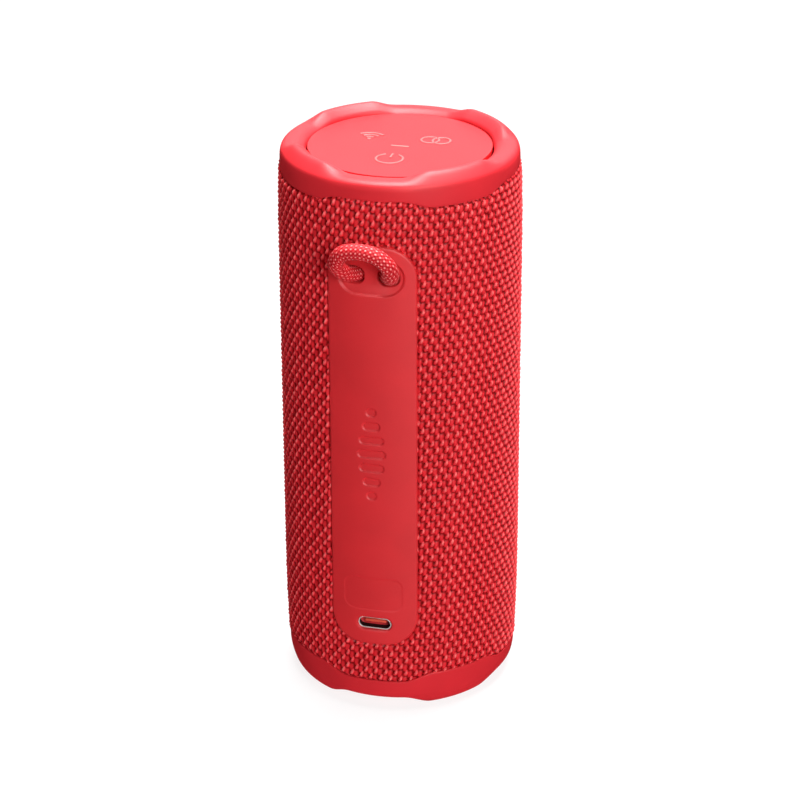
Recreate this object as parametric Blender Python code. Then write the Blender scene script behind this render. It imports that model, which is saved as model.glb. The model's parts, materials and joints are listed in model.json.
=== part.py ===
"""Portable cylindrical speaker, as an assembly of separate pieces.

The speaker stands on the world origin with its axis along +Z. The rubber spine, the carry loop and the
charging port are on the -Y side, and the drivers and the volume keys are on the +Y side.
Lengths in this script are millimetres, and become metres when a mesh is made.
"""

import math

import bmesh
import bpy
from mathutils import Vector

MM = 0.001

# Whole body, from the axis outwards
HEIGHT = 173.0
FABRIC_R = 36.0
FABRIC_THICKNESS = 1.2
RUBBER_R = 35.1
FRAME_R = 34.4
FRAME_THICKNESS = 1.1
PLATE_R = 35.7
PLATE_INNER_R = 33.4
SHELL_R = 33.0
SHELL_INNER_R = 31.0
GAP = 0.3

# Rubber caps: four raised lobes, with saddles between them
LOBE_HALF_WIDTH = 14.5
SADDLE_START = 30.5
RING_INNER_R = 27.3
RING_SKIRT_R = 30.5
TOP_LEDGE_Z = 168.0
BOTTOM_LEDGE_Z = 5.0
TOP_SEAM = (165.3, 163.2)
BOTTOM_SEAM = (9.9, 12.4)

# Top panel and its keys: x, y and radius of each
PANEL_R = 26.9
PANEL_TOP_Z = 170.0
PANEL_THICKNESS = 1.6
TOP_KEYS = {
    "power_key": (0.0, -12.4, 6.0),
    "pairing_key": (-10.0, 5.0, 5.4),
    "link_key": (9.4, 5.6, 5.4),
}
LED_CENTRE = (0.3, -1.3)
LED_SIZE = (5.4, 0.9)
SWITCH_TOP_Z = 167.0

# Rear spine, its carry loop pocket and the charging port
PLATE_HALF_WIDTH = 13.54
PLATE_BOTTOM_Z = 22.7
PLATE_TOP_Z = 152.0
PLATE_CORNER = 9.5
POCKET_Z = 142.3
POCKET_HALF = (9.8, 5.45)
POCKET_FRONT_Y = -34.2
POCKET_BACK_Y = -26.6
BRIDGE_HALF_WIDTH = 2.2
BRIDGE_BACK_Y = -33.2
PORT_X = 0.4
PORT_Z = 29.9
PORT_HALF = (5.1, 1.9)
PORT_WALL = 0.4

# Carry loop: a cord that passes behind the bridge
ROPE_R = 2.35
ROPE_ROUTE = [
    (-0.25, -30.3, 142.2),
    (-3.2, -30.7, 142.0),
    (-6.0, -33.2, 142.2),
    (-8.0, -36.7, 144.2),
    (-8.9, -39.4, 147.6),
    (-6.2, -41.3, 151.5),
    (-1.0, -41.9, 152.6),
    (3.6, -41.7, 151.5),
    (6.6, -40.4, 148.3),
    (6.9, -37.8, 144.7),
    (5.4, -33.9, 142.4),
    (3.1, -30.8, 142.1),
    (0.25, -30.3, 142.2),
]
ROPE_POINTS = 28

# Shells, bottom to top
LOWER_BAY_Z = (13.3, 33.7)
ENCLOSURE_Z = (36.0, 128.0)
UPPER_BAY_Z = (130.3, 162.5)
LID_THICKNESS = 1.7
WALL = 2.0
FRONT_FLAT_Y = 23.0
SIDE_FLAT_X = 25.0

# Drivers: the woofer and the radiators share a height
DRIVER_Z = 84.0
RADIATOR_Y = -4.0
TWEETER_Z = 139.2
TWEETER_R = 8.2
FRONT_KEY_Z = 152.5
FRONT_KEY_R = 4.0
FRONT_KEYS = {"volume_down_key": 150.0, "play_key": 180.0, "volume_up_key": 210.0}
COIL_R = 10.1

# Electronics
BATTERY_R = 9.2
BATTERY_Y = -18.5
BATTERY_Z = (52.0, 117.0)
BOARD_Z = (26.0, 27.6)
RIBBON_X = (-17.0, -12.0)
RIBBON_Y = -15.0
SCREW_CIRCLE_R = 21.0

ROUND = 36
SMALL_ROUND = 20
WAVE_ROUND = 48


def srgb(red, green, blue):
    """Linear colour from display values of 0 to 255."""
    linear = []
    for value in (red, green, blue):
        share = value / 255
        linear.append(share / 12.92 if share <= 0.04045 else ((share + 0.055) / 1.055) ** 2.4)
    return (*linear, 1.0)


FINISHES = {
    "red_rubber": (srgb(212, 56, 60), 0.6, 0.0),
    "panel_rubber": (srgb(240, 100, 104), 0.55, 0.0),
    "red_silicone": (srgb(200, 52, 56), 0.5, 0.0),
    "red_fabric": (srgb(196, 24, 32), 0.85, 0.0),
    "red_rope": (srgb(222, 70, 76), 0.85, 0.0),
    "port_metal": (srgb(200, 198, 196), 0.25, 1.0),
    "tongue_plastic": (srgb(228, 96, 72), 0.5, 0.0),
    "light_plastic": (srgb(250, 170, 168), 0.35, 0.0),
    "black_plastic": (srgb(32, 32, 34), 0.5, 0.0),
    "cone_paper": (srgb(40, 40, 42), 0.8, 0.0),
    "black_rubber": (srgb(24, 24, 25), 0.7, 0.0),
    "magnet_ferrite": (srgb(58, 58, 60), 0.5, 0.0),
    "motor_steel": (srgb(150, 150, 152), 0.35, 1.0),
    "copper_coil": (srgb(184, 110, 60), 0.35, 1.0),
    "circuit_board": (srgb(20, 92, 56), 0.5, 0.0),
    "battery_wrap": (srgb(50, 90, 160), 0.45, 0.0),
}


def finish(obj, slot):
    """Give the object a material of its own, with the slot's colour, roughness and metallic value."""
    color, roughness, metallic = FINISHES[slot]
    material = bpy.data.materials.new(obj.name + "_material")
    material.use_nodes = True
    shader = material.node_tree.nodes["Principled BSDF"]
    shader.inputs["Base Color"].default_value = color
    shader.inputs["Roughness"].default_value = roughness
    shader.inputs["Metallic"].default_value = metallic
    obj.data.materials.append(material)


def along_z(u, v, w):
    return (u, v, w)


def along_y(u, v, w):
    return (u, w, v)


def along_x(u, v, w):
    return (w, u, v)


def add_mesh(name, points, faces, slot, origin=(0, 0, 0)):
    """An object whose mesh has these points and faces, in millimetres, and whose origin is as given."""
    mesh = bpy.data.meshes.new(name)
    mesh.from_pydata([(Vector(p) - Vector(origin)) * MM for p in points], [], faces)
    shape = bmesh.new()
    shape.from_mesh(mesh)
    bmesh.ops.recalc_face_normals(shape, faces=shape.faces)
    shape.to_mesh(mesh)
    shape.free()
    mesh.shade_smooth()
    mesh.set_sharp_from_angle(angle=math.radians(35))
    obj = bpy.data.objects.new(name, mesh)
    obj.location = Vector(origin) * MM
    bpy.context.scene.collection.objects.link(obj)
    finish(obj, slot)
    return obj


def loft(name, loops, slot, ring=False, origin=(0, 0, 0)):
    """Skin through loops of equal length: capped at its two ends, or joined end to start as a ring."""
    count = len(loops[0])
    points = [point for loop in loops for point in loop]
    faces = []
    spans = len(loops) if ring else len(loops) - 1
    for i in range(spans):
        here = i * count
        above = (i + 1) % len(loops) * count
        for j in range(count):
            k = (j + 1) % count
            faces.append((here + j, here + k, above + k, above + j))
    if not ring:
        faces.append(tuple(range(count)))
        faces.append(tuple(range((len(loops) - 1) * count, len(loops) * count)))
    return add_mesh(name, points, faces, slot, origin)


def rounded(half_u, half_v, radius, centre=(0.0, 0.0), steps=4):
    """Outline of a rounded rectangle, which is a circle or a racetrack when radius reaches a half size."""
    outline = []
    for quarter in range(4):
        cu = (half_u - radius) * (1 if quarter in (0, 3) else -1)
        cv = (half_v - radius) * (1 if quarter in (0, 1) else -1)
        for i in range(steps):
            angle = math.pi / 2 * (quarter + (i + 0.5) / steps)
            u = centre[0] + cu + radius * math.cos(angle)
            v = centre[1] + cv + radius * math.sin(angle)
            outline.append((u, v))
    return outline


def racetrack(half_u, half_v, centre=(0.0, 0.0), steps=4):
    return rounded(half_u, half_v, min(half_u, half_v), centre, steps)


def placed(outline, direction, w):
    return [direction(u, v, w) for u, v in outline]


def prism(name, outline, low, high, slot, direction=along_z, origin=(0, 0, 0)):
    return loft(name, [placed(outline, direction, low), placed(outline, direction, high)], slot, origin=origin)


def circle(radius, count=ROUND, centre=(0.0, 0.0)):
    turn = 2 * math.pi / count
    return [(centre[0] + radius * math.cos(i * turn), centre[1] + radius * math.sin(i * turn)) for i in range(count)]


def turned(name, profile, slot, count=ROUND, centre=(0.0, 0.0), direction=along_z, ring=True, origin=(0, 0, 0)):
    """Turn a profile of (radius, height) pairs: closed on itself, or capped when ring is false."""
    loops = [placed(circle(radius, count, centre), direction, height) for radius, height in profile]
    return loft(name, loops, slot, ring, origin)


def tube_profile(inner, outer, low, high):
    return [(outer, low), (outer, high), (inner, high), (inner, low)]


def boolean(obj, tool, operation="DIFFERENCE"):
    """Cut, join or intersect the object with a hidden tool."""
    tool.hide_render = True
    tool.display_type = "WIRE"
    modifier = obj.modifiers.new(operation.lower() + "_" + tool.name, "BOOLEAN")
    modifier.operation = operation
    modifier.object = tool


def cut_prism(obj, name, outline, low, high, direction=along_z):
    boolean(obj, prism(name, outline, low, high, "black_plastic", direction))


def smoothstep(x):
    x = min(max(x, 0.0), 1.0)
    return x * x * (3 - 2 * x)


def lobe_share(angle):
    """1 on a lobe of the rubber caps and 0 on a saddle; the lobes stand at 45 degrees and every 90 from it."""
    off = abs((math.degrees(angle) % 90) - 45)
    return 1 - smoothstep((off - LOBE_HALF_WIDTH) / (SADDLE_START - LOBE_HALF_WIDTH))


def mix(pair, share):
    return pair[0] + (pair[1] - pair[0]) * share


# ---------------------------------------------------------------- rubber caps and fabric

# Each profile point is (radius, height) on a saddle, then on a lobe.
TOP_RING = [
    ((RUBBER_R, TOP_SEAM[0]), (RUBBER_R, TOP_SEAM[1])),
    ((RUBBER_R, 168.3), (34.9, 168.0)),
    ((34.7, 169.6), (34.3, 170.4)),
    ((33.7, 170.5), (32.2, 172.4)),
    ((32.0, 170.9), (31.2, 172.8)),
    ((29.6, 170.9), (29.8, HEIGHT)),
    ((28.2, 170.6), (28.6, 172.0)),
    ((RING_INNER_R, 169.6), (RING_INNER_R, 170.0)),
    ((RING_INNER_R, TOP_LEDGE_Z), (RING_INNER_R, TOP_LEDGE_Z)),
    ((RING_SKIRT_R, TOP_LEDGE_Z), (RING_SKIRT_R, TOP_LEDGE_Z)),
    ((RING_SKIRT_R, TOP_SEAM[0]), (RING_SKIRT_R, TOP_SEAM[1])),
]
BOTTOM_RING = [
    ((RUBBER_R, BOTTOM_SEAM[0]), (RUBBER_R, BOTTOM_SEAM[1])),
    ((34.9, 7.0), (34.8, 8.6)),
    ((34.4, 5.1), (34.4, 5.6)),
    ((33.5, 3.7), (33.6, 3.1)),
    ((32.2, 3.1), (32.0, 1.1)),
    ((30.4, 2.9), (30.4, 0.0)),
    ((28.8, 2.9), (28.4, 0.0)),
    ((RING_INNER_R, 3.4), (RING_INNER_R, 0.9)),
    ((RING_INNER_R, BOTTOM_LEDGE_Z), (RING_INNER_R, BOTTOM_LEDGE_Z)),
    ((RING_SKIRT_R, BOTTOM_LEDGE_Z), (RING_SKIRT_R, BOTTOM_LEDGE_Z)),
    ((RING_SKIRT_R, BOTTOM_SEAM[0]), (RING_SKIRT_R, BOTTOM_SEAM[1])),
]


def lobed_ring(name, profile):
    """A rubber ring whose profile runs from the saddle's to the lobe's and back, four times round."""
    loops = []
    for i in range(WAVE_ROUND):
        angle = 2 * math.pi * i / WAVE_ROUND
        share = lobe_share(angle)
        loop = []
        for saddle, lobe in profile:
            radius = mix((saddle[0], lobe[0]), share)
            loop.append((radius * math.cos(angle), radius * math.sin(angle), mix((saddle[1], lobe[1]), share)))
        loops.append(loop)
    return loft(name, loops, "red_rubber", ring=True)


def fabric_sleeve():
    """The woven sleeve: its two ends follow the seams of the caps, and it is open where the spine sits."""
    inner_r = FABRIC_R - FABRIC_THICKNESS
    loops = []
    for i in range(WAVE_ROUND):
        angle = 2 * math.pi * i / WAVE_ROUND
        share = lobe_share(angle)
        low = mix(BOTTOM_SEAM, share) + GAP
        high = mix(TOP_SEAM, share) - GAP
        corners = [(FABRIC_R, low), (FABRIC_R, high), (inner_r, high), (inner_r, low)]
        loops.append([(r * math.cos(angle), r * math.sin(angle), z) for r, z in corners])
    sleeve = loft("fabric_sleeve", loops, "red_fabric", ring=True)
    cut_prism(sleeve, "spine_window", plate_outline(GAP), -40, -20, along_y)
    for name, bearing in FRONT_KEYS.items():
        hole = radial_cylinder(name + "_fabric_hole", bearing, FRONT_KEY_R + GAP, 30, 38, "black_plastic")
        boolean(sleeve, hole)


def plate_outline(grow=0.0):
    middle = (0.0, (PLATE_BOTTOM_Z + PLATE_TOP_Z) / 2)
    half_height = (PLATE_TOP_Z - PLATE_BOTTOM_Z) / 2
    return rounded(PLATE_HALF_WIDTH + grow, half_height + grow, PLATE_CORNER + grow, middle)


def radial_point(bearing, radius):
    """Point at this bearing, in degrees from -Y towards +X, and this distance from the axis."""
    angle = math.radians(bearing)
    return (radius * math.sin(angle), -radius * math.cos(angle))


def radial_cylinder(name, bearing, radius, near, far, slot, origin=(0, 0, 0)):
    """A round bar that points away from the axis, at the height of the front keys."""
    angle = math.radians(bearing)
    side = Vector((math.cos(angle), math.sin(angle), 0))
    loops = []
    for distance in (near, far):
        x, y = radial_point(bearing, distance)
        middle = Vector((x, y, FRONT_KEY_Z))
        loops.append([tuple(middle + side * u + Vector((0, 0, v))) for u, v in circle(radius, SMALL_ROUND)])
    return loft(name, loops, slot, origin=origin)


# ---------------------------------------------------------------- top panel and its controls


def top_panel():
    panel = prism("top_panel", circle(PANEL_R), PANEL_TOP_Z - PANEL_THICKNESS, PANEL_TOP_Z, "panel_rubber")
    for name, (x, y, radius) in TOP_KEYS.items():
        hole = circle(radius + GAP / 2, SMALL_ROUND, (x, y))
        cut_prism(panel, name + "_hole", hole, 160, 180)
    slot = rounded(LED_SIZE[0] / 2 + GAP / 2, LED_SIZE[1] / 2 + GAP / 2, 0.55, LED_CENTRE, 3)
    cut_prism(panel, "led_slot", slot, 160, 180)


def top_keys():
    """Each key is a disc in the panel over a stem that meets its switch."""
    stem_r = 1.5
    stem_end = SWITCH_TOP_Z + 0.4
    low = PANEL_TOP_Z - PANEL_THICKNESS
    for name, (x, y, radius) in TOP_KEYS.items():
        profile = [(stem_r, stem_end), (stem_r, low), (radius, low), (radius, PANEL_TOP_Z)]
        turned(name, profile, "panel_rubber", SMALL_ROUND, (x, y), ring=False, origin=(x, y, PANEL_TOP_Z))
        body = rounded(2.2, 2.2, 0.4, (x, y), 2)
        prism(name.replace("key", "switch"), body, 166.2, SWITCH_TOP_Z, "black_plastic")
    guide = rounded(LED_SIZE[0] / 2, LED_SIZE[1] / 2, 0.4, LED_CENTRE, 3)
    prism("led_light_guide", guide, 166.2, PANEL_TOP_Z, "light_plastic")


def decks():
    """The two hard plates that carry the caps, each with a rim that backs the panel or the base."""
    deck_r = 30.2
    rim = (25.0, 26.6)
    top = [(deck_r, 162.8), (deck_r, 164.6), (rim[1], 164.6), (rim[1], 168.1), (rim[0], 168.1), (rim[0], 164.6)]
    top_deck = turned("top_deck", top + [(1.0, 164.6), (1.0, 162.8)], "black_plastic")
    cut_prism(top_deck, "top_deck_slot", ribbon_outline(GAP), 160, 168)
    low = [(deck_r, 13.0), (deck_r, 11.2), (rim[1], 11.2), (rim[1], 4.9), (rim[0], 4.9), (rim[0], 11.2)]
    bottom_deck = turned("bottom_deck", low + [(1.0, 11.2), (1.0, 13.0)], "black_plastic")
    for i, (x, y) in enumerate(screw_places()):
        cut_prism(bottom_deck, f"deck_screw_hole_{i}", circle(1.6, 12, (x, y)), 8, 14)
    turned("button_board", tube_profile(1.0, 24.5, 164.9, 165.9), "circuit_board")


def bottom_plate():
    prism("bottom_plate", circle(PANEL_R), 3.0, 4.6, "red_rubber")


def screw_places():
    return [radial_point(45 + 90 * i, SCREW_CIRCLE_R) for i in range(4)]


def bottom_screws():
    profile = [(2.6, 9.1), (2.6, 10.9), (1.2, 10.9), (1.2, 15.0)]
    for i, (x, y) in enumerate(screw_places()):
        turned(f"bottom_screw_{i + 1}", profile, "motor_steel", 12, (x, y), ring=False)


def front_keys():
    """Keys that stand in the sleeve on the front, and the curved flexible circuit behind them."""
    for name, bearing in FRONT_KEYS.items():
        x, y = radial_point(bearing, FABRIC_R)
        radial_cylinder(name, bearing, FRONT_KEY_R, 29.6, FABRIC_R, "red_rubber", origin=(x, y, FRONT_KEY_Z))
    loops = []
    steps = 14
    for i in range(steps + 1):
        bearing = 138 + (222 - 138) * i / steps
        loop = []
        for radius, z in tube_profile(28.6, 29.1, FRONT_KEY_Z - 4.5, FRONT_KEY_Z + 4.5):
            x, y = radial_point(bearing, radius)
            loop.append((x, y, z))
        loops.append(loop)
    loft("front_key_flex", loops, "circuit_board")


# ---------------------------------------------------------------- spine, pocket, loop and port


def rear_plate():
    """The spine: a curved silicone strip, open where the loop's pocket and the charging port stand."""
    plate = turned("rear_plate", tube_profile(PLATE_INNER_R, PLATE_R, 10, 170), "red_silicone", 96)
    outline = prism("spine_outline", plate_outline(), -40, -20, "black_plastic", along_y)
    boolean(plate, outline, "INTERSECT")
    pocket = racetrack(POCKET_HALF[0] + GAP, POCKET_HALF[1] + GAP, (0, POCKET_Z))
    cut_prism(plate, "spine_pocket", pocket, -40, -20, along_y)
    port = racetrack(PORT_HALF[0] + GAP, PORT_HALF[1] + GAP, (PORT_X, PORT_Z))
    cut_prism(plate, "spine_port", port, -40, -20, along_y)


def loop_anchor():
    """The sunk pocket: a block with a hole on each side of a bridge, and a tunnel behind the bridge."""
    outline = racetrack(POCKET_HALF[0], POCKET_HALF[1], (0, POCKET_Z))
    block = prism("loop_anchor", outline, POCKET_FRONT_Y, POCKET_BACK_Y, "red_silicone", along_y)
    back = POCKET_BACK_Y - 1.2
    reach = 9.3
    hole_half = (reach - BRIDGE_HALF_WIDTH) / 2
    for side, name in ((-1, "left_mouth"), (1, "right_mouth")):
        mouth = rounded(hole_half, 4.4, 2.2, (side * (reach - hole_half), POCKET_Z))
        cut_prism(block, name, mouth, -40, back, along_y)
    tunnel = rounded(BRIDGE_HALF_WIDTH + 1.5, 3.0, 1.0, (0, POCKET_Z))
    cut_prism(block, "tunnel", tunnel, BRIDGE_BACK_Y, back, along_y)


def rope_loop():
    """The cord, along a smooth curve through its route's points; it turns about the tunnel behind the bridge."""
    origin = Vector((0, ROPE_ROUTE[0][1], ROPE_ROUTE[0][2]))
    curve = bpy.data.curves.new("rope_loop", "CURVE")
    curve.dimensions = "3D"
    curve.bevel_depth = ROPE_R * MM
    curve.bevel_resolution = 2
    curve.use_fill_caps = True
    spline = curve.splines.new("POLY")
    spline.points.add(ROPE_POINTS - 1)
    for i in range(ROPE_POINTS):
        point = (along_route(i / (ROPE_POINTS - 1)) - origin) * MM
        spline.points[i].co = (*point, 1.0)
    obj = bpy.data.objects.new("rope_loop", curve)
    obj.location = origin * MM
    bpy.context.scene.collection.objects.link(obj)
    finish(obj, "red_rope")


def along_route(share):
    """Point on the Catmull-Rom curve through the route, at this share of its points."""
    place = share * (len(ROPE_ROUTE) - 1)
    i = min(int(place), len(ROPE_ROUTE) - 2)
    t = place - i
    before, start, end, after = [
        Vector(ROPE_ROUTE[min(max(k, 0), len(ROPE_ROUTE) - 1)]) for k in (i - 1, i, i + 1, i + 2)
    ]
    bend = 2 * before - 5 * start + 4 * end - after
    twist = 3 * start - before - 3 * end + after
    return (2 * start + (end - before) * t + bend * t**2 + twist * t**3) / 2


def charge_port():
    shell_y = (-34.9, -27.5)
    outer = racetrack(PORT_HALF[0], PORT_HALF[1], (PORT_X, PORT_Z), 4)
    inner = racetrack(PORT_HALF[0] - PORT_WALL, PORT_HALF[1] - PORT_WALL, (PORT_X, PORT_Z), 4)
    sleeve = [placed(outer, along_y, shell_y[0]), placed(outer, along_y, shell_y[1])]
    bore = [placed(inner, along_y, shell_y[1]), placed(inner, along_y, shell_y[0])]
    loft("charge_port_shell", sleeve + bore, "port_metal", ring=True)
    tongue = rounded(3.3, 0.35, 0.2, (PORT_X, PORT_Z), 2)
    prism("charge_port_tongue", tongue, -33.6, -27.8, "tongue_plastic", along_y)
    inside = racetrack(PORT_HALF[0] + GAP, PORT_HALF[1] + GAP, (PORT_X, PORT_Z), 4)
    outside = racetrack(6.5, 3.3, (PORT_X, PORT_Z), 4)
    seal = [placed(outside, along_y, -32.0), placed(outside, along_y, -30.6)]
    seal += [placed(inside, along_y, -30.6), placed(inside, along_y, -32.0)]
    loft("charge_port_seal", seal, "black_rubber", ring=True)


# ---------------------------------------------------------------- frame and shells


def grille_frame():
    """The perforated tube under the sleeve: windows between ribs, and one wide window for the spine."""
    columns = 36
    levels = [13.6, 20.0, 48.0, 52.0, 82.0, 86.0, 116.0, 120.0, 157.0, 162.0]
    points = []
    for z in levels:
        for j in range(columns):
            x, y = radial_point(360 / columns * j, FRAME_R)
            points.append((x, y, z))
    faces = []
    for i in range(len(levels) - 1):
        end_band = i in (0, len(levels) - 2)
        for j in range(columns):
            off_spine = min(j + 0.5, columns - j - 0.5)
            if off_spine < 3:
                solid = end_band
            elif off_spine < 4:
                solid = True
            else:
                solid = end_band or i % 2 == 0 or j % 3 == 1
            if solid:
                k = (j + 1) % columns
                faces.append((i * columns + j, i * columns + k, (i + 1) * columns + k, (i + 1) * columns + j))
    frame = add_mesh("grille_frame", points, faces, "black_plastic")
    shape = bmesh.new()
    shape.from_mesh(frame.data)
    loose = [vertex for vertex in shape.verts if not vertex.link_faces]
    bmesh.ops.delete(shape, geom=loose, context="VERTS")
    shape.to_mesh(frame.data)
    shape.free()
    thickness = frame.modifiers.new("wall", "SOLIDIFY")
    thickness.thickness = FRAME_THICKNESS * MM
    thickness.offset = -1


def bays():
    """The lower bay is a cup that holds the main board; the upper bay holds the tweeter and the pocket."""
    low, high = LOWER_BAY_Z
    cup = [(SHELL_R, low), (SHELL_R, high), (SHELL_INNER_R, high), (SHELL_INNER_R, low + WALL), (1.0, low + WALL)]
    lower = turned("lower_bay", cup + [(1.0, low)], "black_plastic")
    port = racetrack(6.8, 3.6, (PORT_X, PORT_Z), 4)
    cut_prism(lower, "bay_port", port, -40, -20, along_y)
    for i, (x, y) in enumerate(screw_places()):
        cut_prism(lower, f"bay_screw_hole_{i}", circle(1.5, 12, (x, y)), low - 1, low + WALL + 1)

    upper = turned("upper_bay", tube_profile(SHELL_INNER_R, SHELL_R, *UPPER_BAY_Z), "black_plastic")
    pocket = racetrack(POCKET_HALF[0] + GAP, POCKET_HALF[1] + GAP, (0, POCKET_Z))
    cut_prism(upper, "bay_pocket", pocket, -40, -20, along_y)
    tweeter = circle(TWEETER_R + GAP, SMALL_ROUND, (0, TWEETER_Z))
    cut_prism(upper, "bay_tweeter", tweeter, 20, 40, along_y)
    for name, bearing in FRONT_KEYS.items():
        boolean(upper, radial_cylinder(name + "_bay_hole", bearing, FRONT_KEY_R + GAP, 28, 36, "black_plastic"))


def enclosure_outline(inset):
    """Round at the back, with a flat on the front for the woofer and one on each side for a radiator."""
    count = 48
    outline = []
    for i in range(count):
        angle = 2 * math.pi * i / count
        reach = SHELL_R - inset
        reach = min(reach, (SIDE_FLAT_X - inset) / max(abs(math.cos(angle)), 1e-6))
        if math.sin(angle) > 0:
            reach = min(reach, (FRONT_FLAT_Y - inset) / math.sin(angle))
        outline.append((reach * math.cos(angle), reach * math.sin(angle)))
    return outline


def ribbon_outline(grow=0.0):
    middle = ((RIBBON_X[0] + RIBBON_X[1]) / 2, RIBBON_Y)
    half_width = (RIBBON_X[1] - RIBBON_X[0]) / 2
    return rounded(half_width + grow, 0.15 + grow, 0.1 + grow, middle, 1)


def acoustic_enclosure():
    low, high = ENCLOSURE_Z
    outer = enclosure_outline(0)
    inner = enclosure_outline(WALL)
    loops = [placed(outer, along_z, low), placed(outer, along_z, high)]
    loops += [placed(inner, along_z, high), placed(inner, along_z, low)]
    body = loft("acoustic_enclosure", loops, "black_plastic", ring=True)
    cut_prism(body, "woofer_window", racetrack(20.4, 38.9, (0, DRIVER_Z)), 10, 40, along_y)
    for side, name in ((-1, "left_window"), (1, "right_window")):
        window = racetrack(12.6, 33.6, (RADIATOR_Y, DRIVER_Z))
        cut_prism(body, name, window, min(side * 20, side * 40), max(side * 20, side * 40), along_x)
    for name, z in (("enclosure_lid_bottom", low - GAP - LID_THICKNESS), ("enclosure_lid_top", high + GAP)):
        lid = prism(name, outer, z, z + LID_THICKNESS, "black_plastic")
        cut_prism(lid, name + "_slot", ribbon_outline(GAP), z - 1, z + LID_THICKNESS + 1)


# ---------------------------------------------------------------- drivers


def driver_loop(half_u, half_v, w, middle, direction):
    return placed(racetrack(half_u, half_v, middle), direction, w)


def woofer():
    """A racetrack cone on a round motor, firing to the front."""
    middle = (0, DRIVER_Z)

    def ring(name, sizes, slot, origin=(0, 0, 0)):
        loops = [driver_loop(half_u, half_v, y, middle, along_y) for half_u, half_v, y in sizes]
        return loft(name, loops, slot, ring=True, origin=origin)

    def motor(name, profile, slot, closed=True, origin=(0, 0, 0)):
        return turned(name, profile, slot, SMALL_ROUND, middle, along_y, closed, origin)

    basket = [(21.5, 40, 24.6), (21.5, 40, 23.3), (20, 38.5, 23.3), (18.6, 30, 8.5), (12, 12, 8.5)]
    basket += [(12, 12, 9.7), (17.4, 28.8, 9.7), (19, 37.5, 23.3), (19, 37.5, 24.6)]
    ring("woofer_basket", basket, "black_plastic")
    motor("woofer_top_plate", tube_profile(11.0, 17.0, 6.2, 8.2), "motor_steel")
    motor("woofer_magnet", tube_profile(11.4, 17.0, -0.4, 5.9), "magnet_ferrite")
    motor("woofer_yoke", [(17, -3.7), (17, -0.7), (9.3, -0.7), (9.3, 8.0)], "motor_steel", closed=False)

    centre = (0, 13.0, DRIVER_Z)
    coil = tube_profile(COIL_R - 0.3, COIL_R + 0.3, 2.6, 13.2)
    motor("woofer_voice_coil", coil, "copper_coil", origin=centre)
    cone = [(10.8, 10.8, 13.5), (12.2, 20, 17.5), (14.9, 33.4, 21.8), (14.9, 33.4, 22.6)]
    cone += [(12, 19.6, 18.4), (10.8, 10.8, 14.4)]
    ring("woofer_cone", cone, "cone_paper", centre)
    cap = [(10.2, 13.6), (10.3, 15.2), (8.6, 17.0), (5.4, 18.2), (1.6, 18.7)]
    motor("woofer_dust_cap", cap, "black_rubber", closed=False, origin=centre)

    waves = [(10.8, 10.9), (12.3, 11.7), (13.8, 10.7), (15.3, 11.7), (16.9, 10.9)]
    lower_waves = [(radius, y - 0.4) for radius, y in reversed(waves)]
    motor("woofer_spider", waves + lower_waves, "cone_paper")
    roll = [(18.7, 37.2, 23.6), (18.2, 36.7, 25.0), (16.95, 35.45, 25.8), (15.7, 34.2, 25.0), (15.2, 33.7, 22.8)]
    inner_roll = [(15.7, 34.2, 22.8), (16.1, 34.6, 24.6), (16.95, 35.45, 25.2), (17.8, 36.3, 24.6), (18.2, 36.7, 23.6)]
    ring("woofer_surround", roll + inner_roll, "black_rubber")


def radiator(side_name, side):
    """A flat racetrack plate in a rubber surround, on one side of the enclosure."""
    middle = (RADIATOR_Y, DRIVER_Z)

    def ring(name, sizes, slot, closed=True, origin=(0, 0, 0)):
        loops = [driver_loop(half_u, half_v, side * x, middle, along_x) for half_u, half_v, x in sizes]
        return loft(f"{side_name}_radiator_{name}", loops, slot, ring=closed, origin=origin)

    frame = [(15.6, 36.6, 25.3), (15.6, 36.6, 26.6), (12.0, 33.0, 26.6), (12.0, 33.0, 25.3)]
    ring("frame", frame, "black_plastic")
    roll = [(11.7, 32.7, 25.6), (11.3, 32.3, 27.2), (10.3, 31.3, 27.9), (9.3, 30.3, 27.2), (8.9, 29.9, 25.6)]
    inner_roll = [(9.4, 30.4, 25.6), (9.7, 30.7, 26.8), (10.3, 31.3, 27.3), (10.9, 31.9, 26.8), (11.2, 32.2, 25.6)]
    ring("surround", roll + inner_roll, "black_rubber")
    plate = [(8.6, 29.6, 25.2), (8.6, 29.6, 26.6)]
    ring("plate", plate, "black_plastic", False, (side * 26.6, *middle))


def tweeter():
    middle = (0, TWEETER_Z)
    housing = [(TWEETER_R, 22.0), (TWEETER_R, 31.6), (6.9, 31.6), (6.9, 23.5), (1.0, 23.5), (1.0, 22.0)]
    turned("tweeter_housing", housing, "black_plastic", SMALL_ROUND, middle, along_y)
    magnet = [(6.5, 23.8), (6.5, 27.0)]
    turned("tweeter_magnet", magnet, "magnet_ferrite", SMALL_ROUND, middle, along_y, ring=False)
    dome = [(6.3, 28.0), (6.3, 28.5), (5.4, 29.6), (3.6, 30.4), (1.2, 30.7)]
    origin = (0, 28.0, TWEETER_Z)
    turned("tweeter_dome", dome, "copper_coil", SMALL_ROUND, middle, along_y, ring=False, origin=origin)


# ---------------------------------------------------------------- electronics


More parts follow.
